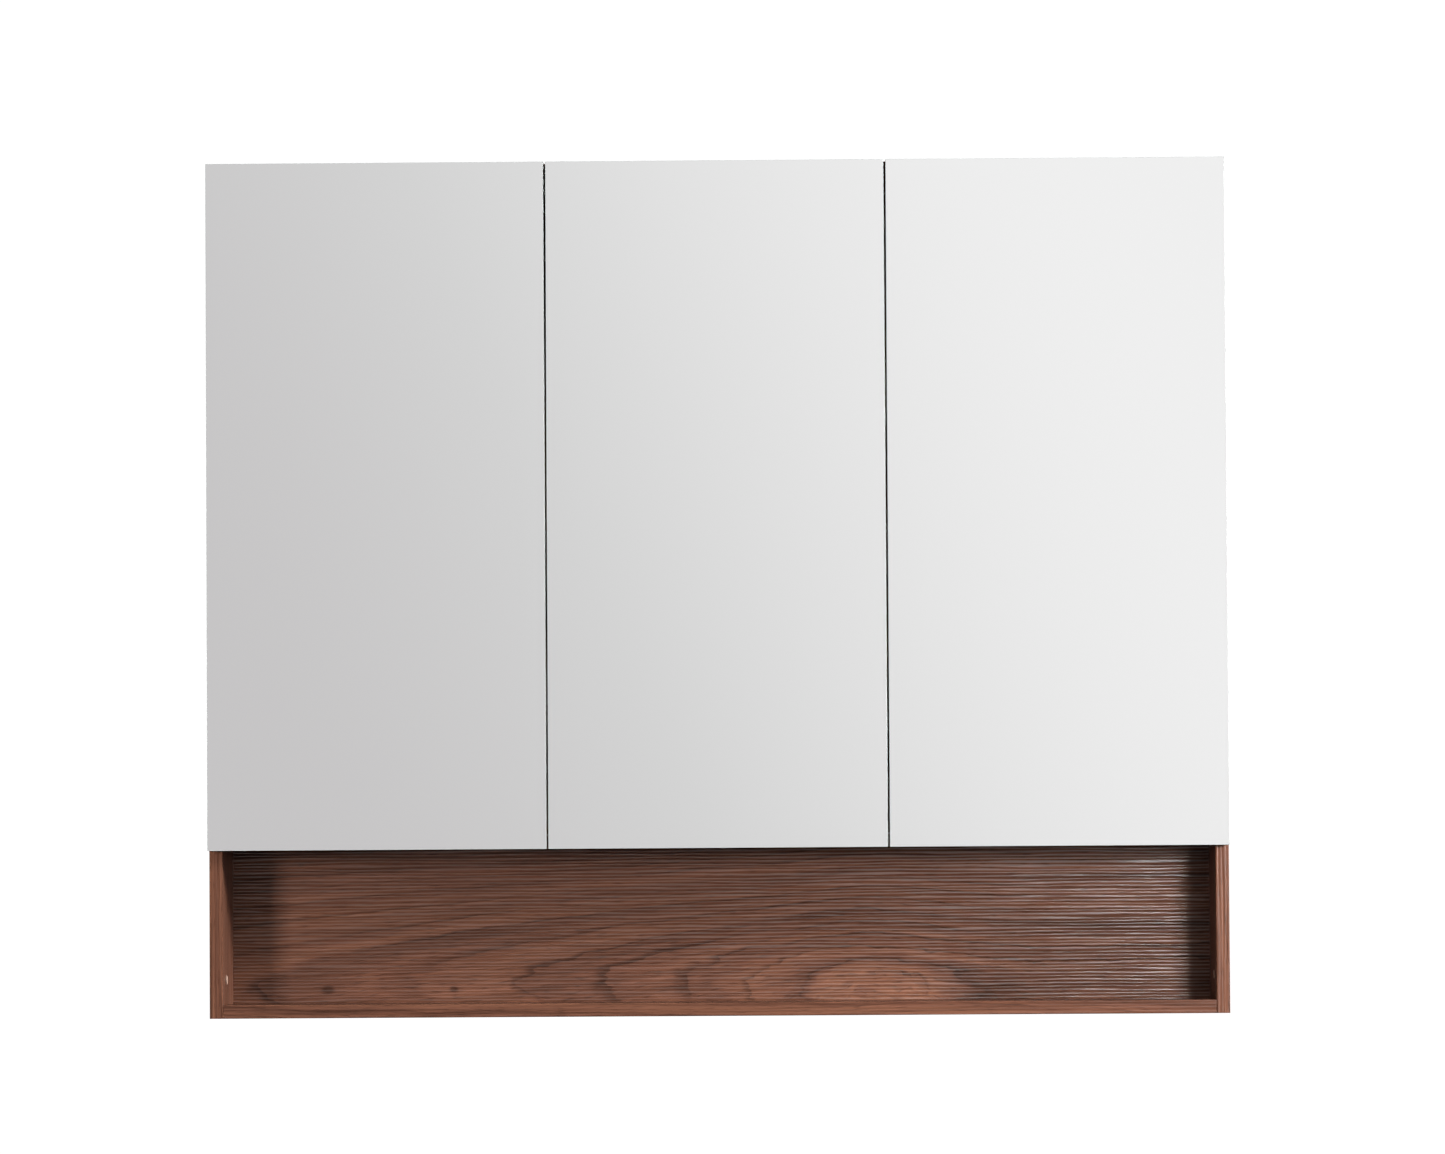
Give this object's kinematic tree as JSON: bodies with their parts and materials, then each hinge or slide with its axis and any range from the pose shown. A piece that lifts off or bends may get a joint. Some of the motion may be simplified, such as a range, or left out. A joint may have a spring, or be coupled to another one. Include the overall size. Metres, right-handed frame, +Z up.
{
  "type": "mirror wall cabinet",
  "caption": "Hanging bathroom wall cabinet with mirrored doors on concealed hinges above an open shelf, in walnut laminate, with glass inner shelves.",
  "frame": {"origin": "centre of the wall screw hole pattern, on the wall plane", "axes": "+X to the cabinet's right seen from the front, +Y into the wall, +Z up"},
  "size_m": [0.9, 0.15, 0.755],
  "materials": {
    "mirror_glass": "silvered float glass, polished edges",
    "shelf_glass": "clear float glass, polished edges",
    "walnut_laminate": "walnut-brown laminate with embossed grain",
    "walnut_edge_band": "walnut-brown edge band, satin",
    "clear_bumper": "soft translucent",
    "beech": "fluted beech",
    "cap_plastic": "light brown, satin",
    "zinc_fittings": "bright zinc",
    "nickel_hinge": "nickel plated steel"
  },
  "bodies": {
    "carcass": {"back_panel": "walnut_laminate", "bottom_panel": "walnut_laminate", "cam_bolts": "zinc_fittings", "cam_locks": "zinc_fittings", "cover_caps": "cap_plastic", "divider_panel": "walnut_laminate", "dowels": "beech", "edge_band_bottom": "walnut_edge_band", "edge_band_divider": "walnut_edge_band", "edge_band_top": "walnut_edge_band", "edge_bands_partitions": "walnut_edge_band", "edge_bands_sides": "walnut_edge_band", "glass_shelf_left_1": "shelf_glass", "glass_shelf_left_2": "shelf_glass", "glass_shelf_middle_1": "shelf_glass", "glass_shelf_middle_2": "shelf_glass", "glass_shelf_right_1": "shelf_glass", "glass_shelf_right_2": "shelf_glass", "hinge_arm_pins": "nickel_hinge", "hinge_arm_screws": "zinc_fittings", "hinge_arms_left": "nickel_hinge", "hinge_arms_middle": "nickel_hinge", "hinge_arms_right": "nickel_hinge", "hinge_plate_screws": "zinc_fittings", "hinge_plates_left": "nickel_hinge", "hinge_plates_middle": "nickel_hinge", "hinge_plates_right": "nickel_hinge", "niche_back_panel": "walnut_laminate", "partition_left": "walnut_laminate", "partition_right": "walnut_laminate", "partition_screws": "zinc_fittings", "shelf_pins": "zinc_fittings", "side_panel_left": "walnut_laminate", "side_panel_right": "walnut_laminate", "top_panel": "walnut_laminate", "wall_rail_lower": "walnut_laminate", "wall_rail_upper": "walnut_laminate"},
    "door_left": {"door_board_left": "walnut_laminate", "door_mirror_left": "mirror_glass", "door_bumpers_left": "clear_bumper", "hinge_cups_left": "nickel_hinge", "hinge_cup_screws_left": "zinc_fittings", "hinge_cup_pins_left": "nickel_hinge"},
    "hinge_link_left": {"hinge_links_left": "nickel_hinge"},
    "door_middle": {"door_board_middle": "walnut_laminate", "door_mirror_middle": "mirror_glass", "door_bumpers_middle": "clear_bumper", "hinge_cups_middle": "nickel_hinge", "hinge_cup_screws_middle": "zinc_fittings", "hinge_cup_pins_middle": "nickel_hinge"},
    "hinge_link_middle": {"hinge_links_middle": "nickel_hinge"},
    "door_right": {"door_board_right": "walnut_laminate", "door_mirror_right": "mirror_glass", "door_bumpers_right": "clear_bumper", "hinge_cups_right": "nickel_hinge", "hinge_cup_screws_right": "zinc_fittings", "hinge_cup_pins_right": "nickel_hinge"},
    "hinge_link_right": {"hinge_links_right": "nickel_hinge"}
  },
  "joints": [
    {"name": "hinge_link_left_turn", "type": "hinge", "parent": "carcass", "child": "hinge_link_left", "pos_m": [-0.426, -0.115, 0], "axis": [0, 0, -1], "range_deg": [-24, 0]},
    {"name": "door_left_turn", "type": "hinge", "parent": "hinge_link_left", "child": "door_left", "pos_m": [-0.4415, -0.1388, 0], "axis": [0, 0, -1], "range_deg": [0, 118.5]},
    {"name": "hinge_link_middle_turn", "type": "hinge", "parent": "carcass", "child": "hinge_link_middle", "pos_m": [-0.1254, -0.115, 0], "axis": [0, 0, -1], "range_deg": [-24, 0]},
    {"name": "door_middle_turn", "type": "hinge", "parent": "hinge_link_middle", "child": "door_middle", "pos_m": [-0.1409, -0.1388, 0], "axis": [0, 0, -1], "range_deg": [0, 118.5]},
    {"name": "hinge_link_right_turn", "type": "hinge", "parent": "carcass", "child": "hinge_link_right", "pos_m": [0.426, -0.115, 0], "axis": [0, 0, 1], "range_deg": [-24, 0]},
    {"name": "door_right_turn", "type": "hinge", "parent": "hinge_link_right", "child": "door_right", "pos_m": [0.4415, -0.1388, 0], "axis": [0, 0, 1], "range_deg": [0, 118.5]}
  ],
  "couplings": [
    {"joint": "hinge_link_left_turn", "follows": "door_left_turn", "ratio": -0.19831},
    {"joint": "hinge_link_middle_turn", "follows": "door_middle_turn", "ratio": -0.19831},
    {"joint": "hinge_link_right_turn", "follows": "door_right_turn", "ratio": -0.19831}
  ]
}
